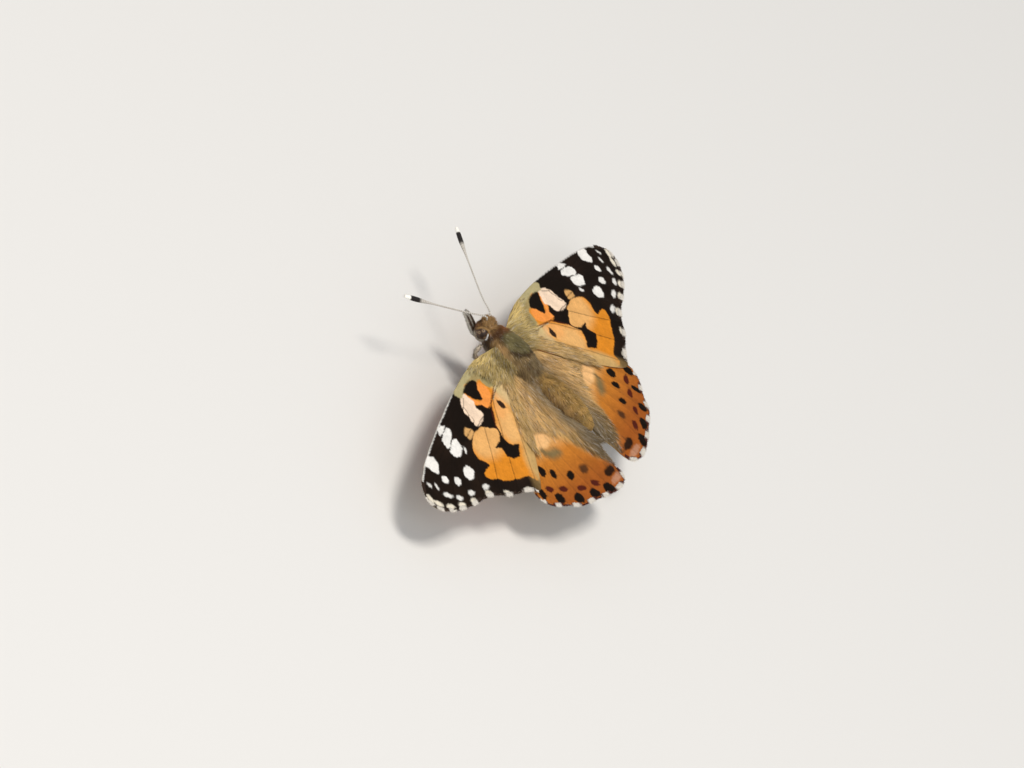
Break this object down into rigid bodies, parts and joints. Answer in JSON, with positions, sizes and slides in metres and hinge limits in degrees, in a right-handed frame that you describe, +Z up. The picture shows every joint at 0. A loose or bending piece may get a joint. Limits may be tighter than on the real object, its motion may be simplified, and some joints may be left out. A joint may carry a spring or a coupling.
{
  "type": "painted lady butterfly",
  "caption": "Life-size butterfly basking with spread orange, black and white wings, a furred body, clubbed feelers and feet laid flat on the floor.",
  "frame": {"origin": "on the floor, under the middle of the model's bounding box", "axes": "+X towards the animal's right wing tip, +Y towards its head and feelers, +Z up from the floor"},
  "size_m": [0.067, 0.032, 0.0092],
  "materials": {
    "thorax_fur": "furry",
    "abdomen_fur": "furry",
    "head_fur": "furry",
    "eye": "satin",
    "palp": "scaled",
    "feeler": "scaled",
    "forewing": "scaled",
    "hindwing": "scaled",
    "leg": "scaled"
  },
  "bodies": {
    "root": {"thorax": "thorax_fur", "abdomen": "abdomen_fur", "head": "head_fur", "eye_right": "eye", "eye_left": "eye", "palp_right": "palp", "palp_left": "palp", "feeler_right": "feeler", "feeler_left": "feeler", "forewing_right": "forewing", "forewing_left": "forewing", "hindwing_right": "hindwing", "hindwing_left": "hindwing", "foreleg_right": "leg", "foreleg_left": "leg", "midleg_thigh_right": "leg", "midleg_thigh_left": "leg", "midleg_shin_right": "leg", "midleg_shin_left": "leg", "midleg_foot_right": "leg", "midleg_foot_left": "leg", "hindleg_thigh_right": "leg", "hindleg_thigh_left": "leg", "hindleg_shin_right": "leg", "hindleg_shin_left": "leg", "hindleg_foot_right": "leg", "hindleg_foot_left": "leg"}
  },
  "joints": []
}
